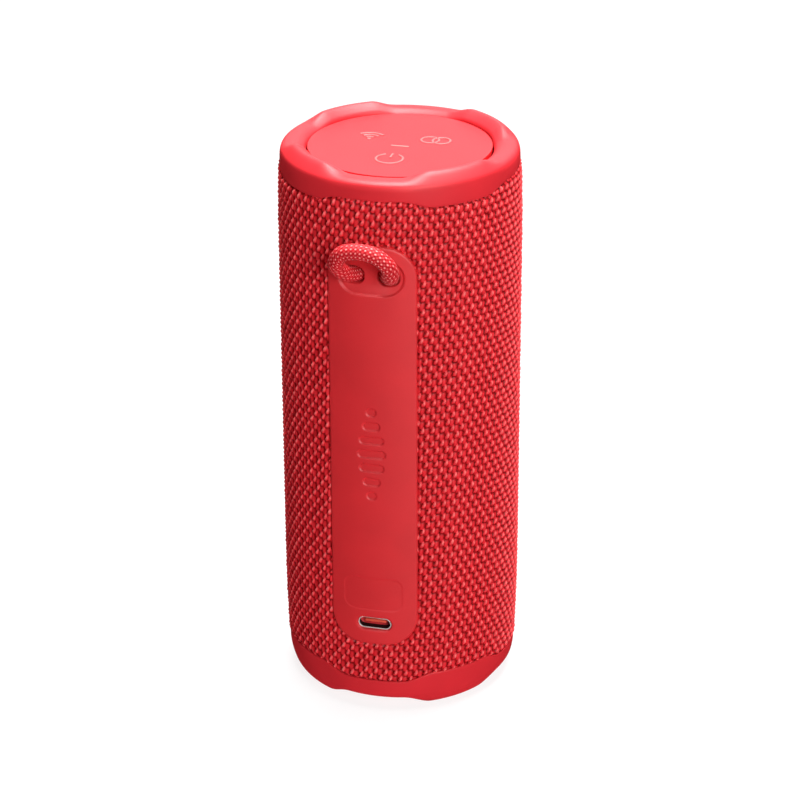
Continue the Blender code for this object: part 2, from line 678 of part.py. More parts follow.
def electronics():
    prism("main_board", circle(29.5), *BOARD_Z, "circuit_board")
    top = BOARD_Z[1] + GAP
    prism("wireless_module", rounded(7, 6, 0.8, (-9, -2), 2), top, top + 2.2, "motor_steel")
    prism("amplifier_chip", rounded(3.5, 3.5, 0.3, (10, 5), 2), top, top + 1.0, "black_plastic")
    prism("flex_ribbon", ribbon_outline(), top, 164.6, "copper_coil")
    cell = [(BATTERY_R - 0.8, BATTERY_Z[0]), (BATTERY_R, BATTERY_Z[0] + 0.8)]
    cell += [(BATTERY_R, BATTERY_Z[1] - 0.8), (BATTERY_R - 0.8, BATTERY_Z[1])]
    turned("battery_cell", cell, "battery_wrap", SMALL_ROUND, (0, BATTERY_Y), ring=False)
    battery_holder()


def battery_holder():
    """A cradle round the back half of the cell."""
    loops = []
    steps = 14
    for i in range(steps + 1):
        angle = math.radians(190 + 160 * i / steps)
        loop = []
        for radius, z in tube_profile(BATTERY_R + GAP, BATTERY_R + 1.5, BATTERY_Z[0] + 6, BATTERY_Z[1] - 6):
            loop.append((radius * math.cos(angle), BATTERY_Y + radius * math.sin(angle), z))
        loops.append(loop)
    loft("battery_holder", loops, "black_plastic")


def clear_scene():
    for obj in list(bpy.data.objects):
        bpy.data.objects.remove(obj, do_unlink=True)


def main():
    clear_scene()
    lobed_ring("top_cap_ring", TOP_RING)
    lobed_ring("foot_ring", BOTTOM_RING)
    fabric_sleeve()
    top_panel()
    top_keys()
    decks()
    bottom_plate()
    bottom_screws()
    front_keys()
    rear_plate()
    loop_anchor()
    rope_loop()
    charge_port()
    grille_frame()
    bays()
    acoustic_enclosure()
    woofer()
    radiator("left", -1)
    radiator("right", 1)
    tweeter()
    electronics()


main()
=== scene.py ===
"""Looks of the portable cylindrical speaker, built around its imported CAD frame.

Everything is in metres in the CAD's own frame: +Z up, and the spine, loop and charging port on the -Y side.
A bearing is an angle round the axis from -Y towards +X.
"""

import json
import math

import bmesh
import bpy
import numpy as np
from mathutils import Matrix, Vector


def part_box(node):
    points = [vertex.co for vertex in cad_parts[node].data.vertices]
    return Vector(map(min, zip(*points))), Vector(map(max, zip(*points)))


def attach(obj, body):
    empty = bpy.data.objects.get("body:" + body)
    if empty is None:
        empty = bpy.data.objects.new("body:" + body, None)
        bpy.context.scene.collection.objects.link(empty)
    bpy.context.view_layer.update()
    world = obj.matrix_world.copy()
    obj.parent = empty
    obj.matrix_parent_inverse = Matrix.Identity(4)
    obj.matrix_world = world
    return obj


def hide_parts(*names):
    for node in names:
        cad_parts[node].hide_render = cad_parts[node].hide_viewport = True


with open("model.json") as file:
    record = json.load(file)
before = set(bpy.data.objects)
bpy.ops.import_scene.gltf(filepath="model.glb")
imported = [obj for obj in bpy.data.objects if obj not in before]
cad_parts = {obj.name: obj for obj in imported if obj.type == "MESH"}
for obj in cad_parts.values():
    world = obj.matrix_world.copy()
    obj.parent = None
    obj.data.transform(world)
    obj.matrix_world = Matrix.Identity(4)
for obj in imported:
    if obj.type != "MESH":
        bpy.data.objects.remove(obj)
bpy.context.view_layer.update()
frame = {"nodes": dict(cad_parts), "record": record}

MM = 0.001


# ---------------------------------------------------------------- sizes, read from the frame

FABRIC_LOW, FABRIC_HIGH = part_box("fabric_sleeve")
FABRIC_R = FABRIC_HIGH[0]
PANEL_LOW, PANEL_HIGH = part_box("top_panel")
PANEL_R = PANEL_HIGH[0]
PANEL_TOP = PANEL_HIGH[2]
PLATE_LOW, PLATE_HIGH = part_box("rear_plate")
PLATE_R = -PLATE_LOW[1]
PLATE_HALF_WIDTH = PLATE_HIGH[0]
PLATE_CORNER = 9.5 * MM

# Keys and the bodies that they ride on
TOP_KEYS = {
    "power_key": "power_button",
    "pairing_key": "pairing_button",
    "link_key": "link_button",
}
FRONT_KEYS = {
    "volume_down_key": "volume_down_button",
    "play_key": "play_button",
    "volume_up_key": "volume_up_button",
}

# Seams between the sleeve and the rubber caps: height on a saddle and on a lobe
TOP_SEAM = (165.3 * MM, 163.2 * MM)
BOTTOM_SEAM = (9.9 * MM, 12.4 * MM)

# Degrees from a lobe's middle at which its full height ends, and at which the saddle begins
LOBE_HALF_WIDTH = 14.5
SADDLE_START = 30.5


def middle_of(node):
    """The middle of a node's box."""
    low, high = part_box(node)
    return [(a + b) / 2 for a, b in zip(low, high)]


def half_of(node):
    """Half the size of a node's box along X, Y and Z."""
    low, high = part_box(node)
    return [(b - a) / 2 for a, b in zip(low, high)]


# ---------------------------------------------------------------- camera

CAMERA_BEARING = 14.3
CAMERA_ELEVATION = 25.0
CAMERA_DISTANCE = 0.8593
CAMERA_ROLL = -0.26
CAMERA_LENS = 127.7
CAMERA_SENSOR = 36.0
AIM_RIGHT = -0.33 * MM
AIM_HEIGHT = 88.03 * MM


def make_camera():
    """The camera of the photo: it looks at a point near the axis from its bearing, elevation and distance."""
    bearing = math.radians(CAMERA_BEARING)
    elevation = math.radians(CAMERA_ELEVATION)
    roll = math.radians(CAMERA_ROLL)
    back = Vector((math.sin(bearing) * math.cos(elevation), -math.cos(bearing) * math.cos(elevation),
                   math.sin(elevation)))
    level = Vector((math.cos(bearing), math.sin(bearing), 0))
    up = back.cross(level)
    right = math.cos(roll) * level + math.sin(roll) * up
    above = back.cross(right)
    place = level * AIM_RIGHT + Vector((0, 0, AIM_HEIGHT)) + back * CAMERA_DISTANCE
    data = bpy.data.cameras.new("photo_camera")
    data.lens = CAMERA_LENS
    data.sensor_width = CAMERA_SENSOR
    camera = bpy.data.objects.new("photo_camera", data)
    camera.matrix_world = Matrix.Translation(place) @ Matrix((right, above, back)).transposed().to_4x4()
    bpy.context.scene.collection.objects.link(camera)
    bpy.context.scene.camera = camera


make_camera()


# ---------------------------------------------------------------- small tools

def srgb(red, green, blue):
    """Linear colour from display values of 0 to 255."""
    linear = []
    for value in (red, green, blue):
        share = value / 255
        linear.append(share / 12.92 if share <= 0.04045 else ((share + 0.055) / 1.055) ** 2.4)
    return (*linear, 1.0)


def smoothstep(x):
    """0 below 0, 1 above 1, and a smooth rise between."""
    x = np.clip(x, 0.0, 1.0)
    return x * x * (3 - 2 * x)


def lobe_share(bearing):
    """1 on a lobe of the caps and 0 on a saddle; the lobes stand at 45 degrees and every 90 from it."""
    off = np.abs(np.mod(np.degrees(bearing), 90) - 45)
    return 1 - smoothstep((off - LOBE_HALF_WIDTH) / (SADDLE_START - LOBE_HALF_WIDTH))


def round_box(x, z, middle, half, radius):
    """Distance to the edge of a rounded rectangle in the X-Z view: negative inside."""
    dx = np.abs(x - middle[0]) - (half[0] - radius)
    dz = np.abs(z - middle[1]) - (half[1] - radius)
    outside = np.hypot(np.maximum(dx, 0), np.maximum(dz, 0))
    return outside + np.minimum(np.maximum(dx, dz), 0) - radius


def plate_edge(x, z):
    """Distance to the spine's outline: negative on the spine."""
    middle = (0.0, (PLATE_LOW[2] + PLATE_HIGH[2]) / 2)
    half = (PLATE_HALF_WIDTH, (PLATE_HIGH[2] - PLATE_LOW[2]) / 2)
    return round_box(x, z, middle, half, PLATE_CORNER)


def on_cylinder(bearing, radius, z):
    """Points at these bearings, distances from the axis and heights."""
    return np.stack([radius * np.sin(bearing), -radius * np.cos(bearing), z + 0 * radius], axis=-1)


# Edges bent by more than this stay sharp
SHARP_MESH = math.radians(40)
SHARP_PLATE = math.radians(30)

# Points of a seam that are this close become one
SEAM_GAP = 0.001 * MM


def link(name, mesh):
    """An object of this mesh, in the scene."""
    obj = bpy.data.objects.new(name, mesh)
    bpy.context.scene.collection.objects.link(obj)
    return obj


def mesh_from(name, points, faces, smooth=True):
    """An object from lists of points and faces, smooth apart from its sharp edges."""
    mesh = bpy.data.meshes.new(name)
    mesh.from_pydata([tuple(point) for point in points], [], [tuple(map(int, face)) for face in faces])
    shape = bmesh.new()
    shape.from_mesh(mesh)
    bmesh.ops.recalc_face_normals(shape, faces=shape.faces)
    shape.to_mesh(mesh)
    shape.free()
    if smooth:
        mesh.shade_smooth()
        mesh.set_sharp_from_angle(angle=SHARP_MESH)
    return link(name, mesh)


def grid_normals(points):
    """Normals of a grid of points, from its own slopes."""
    across = np.gradient(points, axis=0)
    along = np.gradient(points, axis=1)
    normals = np.cross(across, along)
    return normals / np.linalg.norm(normals, axis=-1, keepdims=True)


def grid_object(name, points, keep=None, normals=None, painted_shade_and_highlight=None):
    """A sheet of quads through a grid of points; keep picks the quads by their four corners.

    The last argument gives a value for each point, from 0 for painted shade deep between the yarns to 1 for
    painted highlight on their tips.
    """
    across, along = points.shape[:2]
    index = np.arange(across * along).reshape(across, along)
    corners = [index[:-1, :-1], index[1:, :-1], index[1:, 1:], index[:-1, 1:]]
    quads = np.stack(corners, axis=-1).reshape(-1, 4)
    if keep is not None:
        flat = keep.reshape(-1)
        quads = quads[flat[quads].all(axis=1)]
    used = np.unique(quads)
    renumber = np.zeros(across * along, int)
    renumber[used] = np.arange(len(used))
    quads = renumber[quads]
    mesh = bpy.data.meshes.new(name)
    mesh.vertices.add(len(used))
    mesh.vertices.foreach_set("co", points.reshape(-1, 3)[used].astype(np.float32).ravel())
    mesh.loops.add(quads.size)
    mesh.loops.foreach_set("vertex_index", quads.astype(np.int32).ravel())
    mesh.polygons.add(len(quads))
    mesh.polygons.foreach_set("loop_start", np.arange(0, quads.size, 4, dtype=np.int32))
    mesh.update(calc_edges=True)
    mesh.shade_smooth()
    if normals is not None:
        mesh.normals_split_custom_set_from_vertices(normals.reshape(-1, 3)[used].astype(float))
    if painted_shade_and_highlight is not None:
        values = mesh.attributes.new("painted_shade_and_highlight", "FLOAT", "POINT")
        values.data.foreach_set("value", painted_shade_and_highlight.reshape(-1)[used].astype(np.float32))
    return link(name, mesh)


def weld(obj):
    """Close the seam where a tube's grid meets itself."""
    shape = bmesh.new()
    shape.from_mesh(obj.data)
    bmesh.ops.remove_doubles(shape, verts=shape.verts, dist=SEAM_GAP)
    bmesh.ops.recalc_face_normals(shape, faces=shape.faces)
    shape.to_mesh(obj.data)
    shape.free()
    obj.data.shade_smooth()


def curve_through(points, steps):
    """Points along the Catmull-Rom curve through a list of points."""
    points = np.asarray(points, float)
    last = len(points) - 1
    found = []
    for share in np.linspace(0, last, steps):
        i = min(int(share), last - 1)
        t = share - i
        before, start, end, after = (points[min(max(k, 0), last)] for k in (i - 1, i, i + 1, i + 2))
        bend = 2 * before - 5 * start + 4 * end - after
        twist = 3 * start - before - 3 * end + after
        found.append((2 * start + (end - before) * t + bend * t**2 + twist * t**3) / 2)
    return np.array(found)


def arc(centre, radius, start, end, steps):
    """Points along an arc, from one angle to the other in degrees."""
    angles = np.radians(np.linspace(start, end, steps))
    return np.stack([centre[0] + radius * np.cos(angles), centre[1] + radius * np.sin(angles)], axis=1)


def circle(centre, radius, sides):
    """Points round a circle, each of them once."""
    return arc(centre, radius, 0, 360, sides + 1)[:-1]


def racetrack(middle, half_length, half_width, steps):
    """A racetrack outline: two straight sides between two half circles."""
    reach = half_length - half_width
    right = arc((middle[0] + reach, middle[1]), half_width, -90, 90, steps)
    left = arc((middle[0] - reach, middle[1]), half_width, 90, 270, steps)
    return np.vstack([right, left])


def dress(obj, material, body="root", replaces=()):
    """Give a finished piece its material and its body, and hide the CAD nodes it stands for."""
    obj.data.materials.clear()
    obj.data.materials.append(material)
    if replaces:
        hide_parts(*replaces)
    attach(obj, body)


# ---------------------------------------------------------------- materials

def new_material(name):
    """An empty node material with its shader: (material, nodes, links, shader)."""
    material = bpy.data.materials.new(name)
    material.use_nodes = True
    nodes = material.node_tree.nodes
    return material, nodes, material.node_tree.links, nodes["Principled BSDF"]


def noise(nodes, links, place, scale, detail=3.0):
    """Values of about 0.3 to 0.7 that vary over this many spots per metre."""
    node = nodes.new("ShaderNodeTexNoise")
    node.inputs["Scale"].default_value = scale
    node.inputs["Detail"].default_value = detail
    links.new(place, node.inputs["Vector"])
    return node.outputs["Fac"]


def object_place(nodes):
    """Where a point of the surface is, in the object's own coordinates."""
    return nodes.new("ShaderNodeTexCoord").outputs["Object"]


def ramp(nodes, links, value, stops):
    """Colour ramp over a value: stops are (position, colour)."""
    node = nodes.new("ShaderNodeValToRGB")
    band = node.color_ramp
    band.elements[0].position, band.elements[0].color = stops[0]
    band.elements[1].position, band.elements[1].color = stops[-1]
    for position, color in stops[1:-1]:
        band.elements.new(position).color = color
    links.new(value, node.inputs["Fac"])
    return node.outputs["Color"]


def spread(nodes, links, value, low, high, to_low, to_high):
    """A value mapped from one range to another."""
    node = nodes.new("ShaderNodeMapRange")
    node.inputs["From Min"].default_value = low
    node.inputs["From Max"].default_value = high
    node.inputs["To Min"].default_value = to_low
    node.inputs["To Max"].default_value = to_high
    links.new(value, node.inputs["Value"])
    return node.outputs["Result"]


def bump(nodes, links, height, distance, shader, strength=1.0):
    """Fine relief of this depth in the shading alone."""
    node = nodes.new("ShaderNodeBump")
    node.inputs["Strength"].default_value = strength
    node.inputs["Distance"].default_value = distance
    links.new(height, node.inputs["Height"])
    links.new(node.outputs["Normal"], shader.inputs["Normal"])


def shade(color, factor):
    """The colour made darker or brighter by a factor."""
    return (*(min(c * factor, 1.0) for c in color[:3]), 1.0)


MOTTLE_SCALE = 60.0
MOTTLE_SHARE = 0.06
GRAIN_SCALE = 2600.0
GRAIN_ROUGHNESS = 0.04


def moulded(name, color, roughness, grain=0.01 * MM, metallic=0.0, gloss=0.5):
    """Moulded rubber, plastic or metal: fine grain, slight mottling and slightly uneven gloss."""
    material, nodes, links, shader = new_material(name)
    place = object_place(nodes)
    slow = noise(nodes, links, place, MOTTLE_SCALE)
    fine = noise(nodes, links, place, GRAIN_SCALE, 2.0)
    tones = [(0.3, shade(color, 1 - MOTTLE_SHARE)), (0.7, shade(color, 1 + MOTTLE_SHARE))]
    links.new(ramp(nodes, links, slow, tones), shader.inputs["Base Color"])
    uneven = spread(nodes, links, fine, 0.2, 0.8, roughness - GRAIN_ROUGHNESS, roughness + GRAIN_ROUGHNESS)
    links.new(uneven, shader.inputs["Roughness"])
    shader.inputs["Metallic"].default_value = metallic
    shader.inputs["Specular IOR Level"].default_value = gloss
    bump(nodes, links, fine, grain, shader)
    return material


YARN_MOTTLE_SCALE = 700.0
YARN_MOTTLE = [(0.25, (0.8, 0.8, 0.8, 1)), (0.75, (1, 1, 1, 1))]
FIBRE_SCALE = 5200.0
FIBRE_STRETCH = (1.0, 1.0, 0.2)
FIBRE_ROUGHNESS = 0.07
FIBRE_DEPTH = 0.03 * MM


def yarn(name, tones, roughness, gloss):
    """Yarn: painted shade between the strands and painted highlights on their tips, with fine filaments that
    run along Z.
    """
    material, nodes, links, shader = new_material(name)
    place = object_place(nodes)
    # Painted shade and highlight: a value per point, low deep between the yarns and high on their tips, picks
    # the colour from the tones
    painted_shade_and_highlight = nodes.new("ShaderNodeAttribute")
    painted_shade_and_highlight.attribute_name = "painted_shade_and_highlight"
    tone = ramp(nodes, links, painted_shade_and_highlight.outputs["Fac"], tones)
    mottle = noise(nodes, links, place, YARN_MOTTLE_SCALE, 2.0)
    tint = nodes.new("ShaderNodeMix")
    tint.data_type = "RGBA"
    tint.blend_type = "MULTIPLY"
    tint.inputs["Factor"].default_value = 1.0
    links.new(tone, tint.inputs["A"])
    links.new(ramp(nodes, links, mottle, YARN_MOTTLE), tint.inputs["B"])
    links.new(tint.outputs["Result"], shader.inputs["Base Color"])
    stretch = nodes.new("ShaderNodeVectorMath")
    stretch.operation = "MULTIPLY"
    stretch.inputs[1].default_value = FIBRE_STRETCH
    links.new(place, stretch.inputs[0])
    fibre = noise(nodes, links, stretch.outputs["Vector"], FIBRE_SCALE, 2.0)
    uneven = spread(nodes, links, fibre, 0.2, 0.8, roughness - FIBRE_ROUGHNESS, roughness + FIBRE_ROUGHNESS)
    links.new(uneven, shader.inputs["Roughness"])
    shader.inputs["Specular IOR Level"].default_value = gloss
    bump(nodes, links, fibre, FIBRE_DEPTH, shader, 0.7)
    return material


# ---------------------------------------------------------------- woven relief

# How much of the painted highlight on a yarn depends on where along its float the point is
TIP_HIGHLIGHT_SHARE = 0.35


def yarn_family(along, across, pitches, sign, half, rise, crimp, lean, taper, skew, uneven=None):
    """Height of parallel yarns that run along one direction and pass over and under the other family.

    Each float leans sideways, narrows towards its far end, and is highest a little way (skew, as a phase) off
    its middle. Gives the height, and where along its float the yarn is, from 0 at the near end to 1.
    """
    pitch_along, pitch_across = pitches
    height = np.full(np.broadcast(along, across).shape, -1.0)
    tip = np.zeros(height.shape)
    first = np.floor(across / pitch_across)
    for step in (0, 1):
        number = first + step
        phase = math.pi * (along / pitch_along + number)
        ahead = sign * np.sin(phase)
        centre = number * pitch_across + lean * pitch_along / math.pi * ahead
        off = np.clip(np.abs(across - centre) / (half * (1 - taper * ahead)), 0, 1)
        top = sign * crimp * np.cos(phase - skew) + rise * np.sqrt(1 - off**2)
        if uneven is not None:
            crossing = np.round(along / pitch_along).astype(int)
            top = top + uneven[number.astype(int) % uneven.shape[0], crossing % uneven.shape[1]]
        higher = (off < 1) & (top > height)
        height = np.where(higher, top, height)
        tip = np.where(higher, 0.5 + 0.5 * ahead, tip)
    return height, tip


def plain_weave(u, v, pitch, warp, weft, floor, uneven=None):
    """Height of a plain weave at (u, v), and its painted shade and highlight. Warp yarns run along v and weft
    yarns along u.

    warp and weft are (half width, rise of the yarn's round top, crimp, lean, taper, skew), in u's units.
    """
    warp_uneven, weft_uneven = (None, None) if uneven is None else (uneven, uneven.T)
    warp_top, warp_tip = yarn_family(v, u, (pitch[1], pitch[0]), 1, *warp, warp_uneven)
    weft_top, weft_tip = yarn_family(u, v, pitch, -1, *weft, weft_uneven)
    height = np.maximum(np.maximum(warp_top, weft_top), floor)
    # Painted highlight: brighter towards one end of each float
    tip = np.where(warp_top >= weft_top, warp_tip, 0.5 * (1 - weft_tip))
    # Painted shade: darker the deeper the point lies between the yarns
    painted_shade_and_highlight = np.clip((height - floor) / (warp[1] + warp[2] - floor), 0, 1)
    return height, painted_shade_and_highlight * (1 - TIP_HIGHLIGHT_SHARE + TIP_HIGHLIGHT_SHARE * tip)


# ---------------------------------------------------------------- carry loop

ROPE_RADIUS = 2.35 * MM
ROPE_ROUTE = [
    (-0.00025, -0.0303, 0.1422),
    (-0.0032, -0.0307, 0.1420),
    (-0.0060, -0.0332, 0.1422),
    (-0.0080, -0.0367, 0.1442),
    (-0.0089, -0.0394, 0.1476),
    (-0.0062, -0.0413, 0.1515),
    (-0.0010, -0.0419, 0.1526),
    (0.0036, -0.0417, 0.1515),
    (0.0066, -0.0404, 0.1483),
    (0.0069, -0.0378, 0.1447),
    (0.0054, -0.0339, 0.1424),
    (0.0031, -0.0308, 0.1421),
    (0.00025, -0.0303, 0.1422),
]
ROPE_STEPS = 420
ROPE_SIDES = 120
BRAID_STRANDS = 12
BRAID_RELIEF = 0.36 * MM
# A strand of the braid, in pitches: half width, rise, crimp, and no lean, taper or skew
BRAID_STRAND = (0.46, 0.34, 0.24, 0.0, 0.0, 0.0)
BRAID_FLOOR = -0.2
# The relief's height, in pitches, that lies at the rope's radius
BRAID_CREST = 0.56
# Painted shade and highlight over the rope's own red: dark between the strands, pale pink on their tips
ROPE_SHADE_AND_HIGHLIGHT = [
    (0.0, srgb(140, 0, 8)),
    (0.45, srgb(190, 14, 26)),
    (0.72, srgb(222, 60, 66)),
    (0.92, srgb(255, 190, 186)),
]


def carry_loop():
    """A round braid: strands run both ways round the cord, over and under each other."""
    path = curve_through(ROPE_ROUTE, ROPE_STEPS)
    gaps = np.linalg.norm(np.diff(path, axis=0), axis=1)
    run = np.concatenate([[0], np.cumsum(gaps)])
    tangent = np.gradient(path, axis=0)
    tangent /= np.linalg.norm(tangent, axis=1, keepdims=True)
    side = np.cross(tangent, [0, -0.8, 0.6])
    side /= np.linalg.norm(side, axis=1, keepdims=True)
    normal = np.cross(side, tangent)
    turn = np.linspace(0, 2 * math.pi, ROPE_SIDES + 1)
    pitch = 2 * math.pi * ROPE_RADIUS / BRAID_STRANDS
    around = (turn / (2 * math.pi) * BRAID_STRANDS)[None, :]
    forward = (run / pitch)[:, None]
    u = around + forward
    v = around - forward
    # The second value is the painted shade and highlight for the strands' colour
    height, painted_shade_and_highlight = plain_weave(u, v, (1.0, 1.0), BRAID_STRAND, BRAID_STRAND, BRAID_FLOOR)
    radius = ROPE_RADIUS + (height - BRAID_CREST) * BRAID_RELIEF
    turn = turn[None, :, None]
    outward = np.cos(turn) * side[:, None, :] + np.sin(turn) * normal[:, None, :]
    points = path[:, None, :] + radius[..., None] * outward
    rope = grid_object("carry_loop", points, painted_shade_and_highlight=painted_shade_and_highlight)
    weld(rope)
    dress(rope, yarn("rope_yarn", ROPE_SHADE_AND_HIGHLIGHT, 0.5, 0.2), "loop", ["rope_loop"])


# ---------------------------------------------------------------- woven sleeve

WEAVE_COLUMNS = 144
SLEEVE_CIRCUMFERENCE = 2 * math.pi * FABRIC_R
WEAVE_COLUMN = SLEEVE_CIRCUMFERENCE / WEAVE_COLUMNS
WEAVE_ROW = 2.2 * MM
SLEEVE_PIECES = 6
POINTS_PER_COLUMN = 7
POINTS_PER_ROW = 8
# Half width, rise of the yarn's round top, crimp, lean, taper and skew
WARP = (0.58 * MM, 0.46 * MM, 0.50 * MM, 0.30, 0.24, 0.4)
WEFT = (1.12 * MM, 0.34 * MM, 0.30 * MM, 0.50, 0.15, -0.4)
WEAVE_FLOOR = -0.15 * MM
# The columns lean by this slope, and the rows climb this many rows in one turn round the body
WARP_SKEW = 0.045
ROWS_CLIMBED = 4
WEFT_RISE = ROWS_CLIMBED * WEAVE_ROW / SLEEVE_CIRCUMFERENCE
# The yarns' slightly uneven heights repeat after this many rows
UNEVEN_HEIGHT = 0.035 * MM
UNEVEN_ROWS = 4
# Painted shade and highlight over the yarns' own red: near black deep between the yarns, pale pink on their
# tips
WEAVE_SHADE_AND_HIGHLIGHT = [
    (0.0, srgb(80, 0, 0)),
    (0.25, srgb(134, 0, 2)),
    (0.5, srgb(234, 40, 50)),
    (0.75, srgb(246, 76, 82)),
    (0.95, srgb(254, 122, 118)),
]
# How far the sleeve draws in towards the caps, in millimetres: (height, depth)
ROLL_IN_LOW = [(7, 0.65), (18, 0.38), (24, 0.18), (32, 0.06), (45, 0)]
ROLL_IN_HIGH = [(148, 0), (155, 0.12), (160, 0.25), (166, 0.4)]
SLEEVE_TUCK = 0.7 * MM
SLEEVE_HEM = 0.8 * MM
KEY_CLEARANCE = 0.05 * MM


def beyond_front_keys(bearing, z):
    """Distance outside the rim of the nearest front key: negative on a key."""
    nearest = np.inf
    for node in FRONT_KEYS:
        x, y, height = middle_of(node)
        turned = np.mod(bearing - math.atan2(x, -y) + math.pi, 2 * math.pi) - math.pi
        nearest = np.minimum(nearest, np.hypot(FABRIC_R * turned, z - height) - half_of(node)[2])
    return nearest


def woven_sleeve():
    """The sleeve's weave as real relief, tucked in under the caps and round the spine and the front keys."""
    across = WEAVE_COLUMNS * POINTS_PER_COLUMN
    low = FABRIC_LOW[2] - SLEEVE_HEM
    high = FABRIC_HIGH[2] + SLEEVE_HEM
    rows = int((high - low) / (WEAVE_ROW / POINTS_PER_ROW))
    bearing = np.linspace(-math.pi, math.pi, across + 1)[:, None]
    z = np.linspace(low, high, rows + 1)[None, :]
    u = bearing * FABRIC_R
    skewed = u - WARP_SKEW * z
    raised = z + WEFT_RISE * u
    uneven = np.random.default_rng(5).normal(0, UNEVEN_HEIGHT, (WEAVE_COLUMNS, UNEVEN_ROWS))
    # The second value is the painted shade and highlight for the yarns' colour
    height, painted_shade_and_highlight = plain_weave(skewed, raised, (WEAVE_COLUMN, WEAVE_ROW), WARP, WEFT, WEAVE_FLOOR, uneven)
    share = lobe_share(bearing)
    top = TOP_SEAM[0] + (TOP_SEAM[1] - TOP_SEAM[0]) * share
    bottom = BOTTOM_SEAM[0] + (BOTTOM_SEAM[1] - BOTTOM_SEAM[0]) * share
    x = FABRIC_R * np.sin(bearing)
    to_spine = np.where(np.cos(bearing) > 0, plate_edge(x, z), 1.0)
    inside = np.minimum(np.minimum(top - z, z - bottom), to_spine)
    beyond_keys = beyond_front_keys(bearing, z)
    tucked = SLEEVE_TUCK * (1 - smoothstep(np.minimum(inside, beyond_keys) / SLEEVE_TUCK))
    crest = WARP[1] + WARP[2]
    roll = np.interp(z / MM, *zip(*ROLL_IN_LOW, *ROLL_IN_HIGH)) * MM
    radius = FABRIC_R - crest + height - tucked - roll
    points = on_cylinder(bearing + 0 * z, radius, z)
    normals = grid_normals(points)
    keep = (inside > -SLEEVE_HEM) & (beyond_keys > KEY_CLEARANCE)
    material = yarn("sleeve_yarn", WEAVE_SHADE_AND_HIGHLIGHT, 0.5, 0.4)
    width = across // SLEEVE_PIECES
    for i in range(SLEEVE_PIECES):
        part = slice(i * width, (i + 1) * width + 1)
        piece = grid_object(f"sleeve_{i + 1}", points[part], keep[part], normals[part], painted_shade_and_highlight[part])
        dress(piece, material, replaces=["fabric_sleeve"])


# ---------------------------------------------------------------- rubber caps

# Profile points, in millimetres: (radius, height) on a saddle, then on a lobe
TOP_PROFILE = [
    ((34.5, 165.3), (34.5, 163.2)),
    ((35.0, 165.4), (35.0, 163.4)),
    ((35.1, 165.9), (35.1, 164.2)),
    ((35.08, 167.4), (35.05, 166.6)),
    ((34.98, 168.7), (34.9, 168.8)),
    ((34.65, 169.75), (34.68, 169.75)),
    ((34.1, 170.3), (34.25, 170.4)),
    ((33.2, 170.7), (33.4, 171.35)),
    ((32.0, 170.87), (32.5, 172.2)),
    ((30.9, 170.9), (31.6, 172.75)),
    ((29.9, 170.8), (30.7, 172.85)),
    ((29.1, 170.5), (29.7, 172.4)),
    ((28.4, 170.1), (28.6, 171.65)),
    ((27.8, 169.6), (27.7, 170.85)),
    ((27.4, 168.9), (27.35, 169.9)),
    ((27.3, 168.2), (27.3, 168.2)),
]
BOTTOM_PROFILE = [
    ((34.5, 9.9), (34.5, 12.4)),
    ((34.95, 9.75), (34.95, 12.2)),
    ((35.0, 9.2), (35.0, 11.4)),
    ((34.9, 7.2), (34.75, 8.6)),
    ((34.6, 5.5), (34.4, 5.6)),
    ((34.1, 4.4), (33.8, 3.4)),
    ((33.4, 3.6), (32.9, 1.8)),
    ((32.4, 3.15), (31.8, 0.75)),
    ((31.2, 3.0), (30.7, 0.15)),
    ((30.2, 2.95), (29.8, 0.0)),
    ((29.2, 2.95), (28.8, 0.0)),
    ((28.2, 3.05), (28.0, 0.25)),
    ((27.5, 3.5), (27.4, 1.1)),
    ((27.3, 4.6), (27.3, 4.6)),
]


CAP_SIDES = 360
CAP_PROFILE_STEPS = 85


def lobed_cap(name, profile, node, material):
    """A rubber ring whose smooth profile runs from the saddle's to the lobe's and back, four times round."""
    bearing = np.linspace(0, 2 * math.pi, CAP_SIDES + 1)
    saddle = curve_through([pair[0] for pair in profile], CAP_PROFILE_STEPS) * MM
    lobe = curve_through([pair[1] for pair in profile], CAP_PROFILE_STEPS) * MM
    share = lobe_share(bearing)[:, None, None]
    outline = saddle[None] + (lobe - saddle)[None] * share
    points = on_cylinder(bearing[:, None], outline[..., 0], outline[..., 1])
    ring = grid_object(name, points)
    weld(ring)
    dress(ring, material, replaces=[node])


# ---------------------------------------------------------------- raised symbols

# Section of a raised line, rounded at its top: (share of the width, share of the height)
STROKE_SECTION = [(-0.5, -0.5), (-0.5, 0.5), (-0.32, 1.0), (0.32, 1.0), (0.5, 0.5), (0.5, -0.5)]


def stroke(path, place, width, height, closed=False):
    """Points and faces of a raised line along a flat path; place turns (u, v, rise) into a point in space."""
    path = np.asarray(path, float)
    count = len(path)
    ahead = np.roll(path, -1, axis=0) if closed else np.vstack([path[1:], 2 * path[-1] - path[-2]])
    behind = np.roll(path, 1, axis=0) if closed else np.vstack([2 * path[0] - path[1], path[:-1]])
    tangent = ahead - behind
    tangent /= np.linalg.norm(tangent, axis=1, keepdims=True)
    normal = np.stack([-tangent[:, 1], tangent[:, 0]], axis=1)
    points = []
    for k in range(count):
        for off, rise in STROKE_SECTION:
            u, v = path[k] + normal[k] * off * width
            points.append(place(u, v, rise * height))
    corners = len(STROKE_SECTION)
    faces = []
    for k in range(count if closed else count - 1):
        here = k * corners
        following = (k + 1) % count * corners
        for j in range(corners):
            after = (j + 1) % corners
            faces.append((here + j, here + after, following + after, following + j))
    if not closed:
        faces.append(tuple(range(corners)))
        faces.append(tuple(range((count - 1) * corners, count * corners)))
    return points, faces


def symbol(name, strokes, place, width, height, material, body):
    """One object from several raised lines: each is (path, closed)."""
    points, faces = [], []
    for path, closed in strokes:
        more, quads = stroke(path, place, width, height, closed)
        faces += [tuple(k + len(points) for k in face) for face in quads]
        points += more
    obj = mesh_from(name, points, faces)
    dress(obj, material, body)


# ---------------------------------------------------------------- top panel

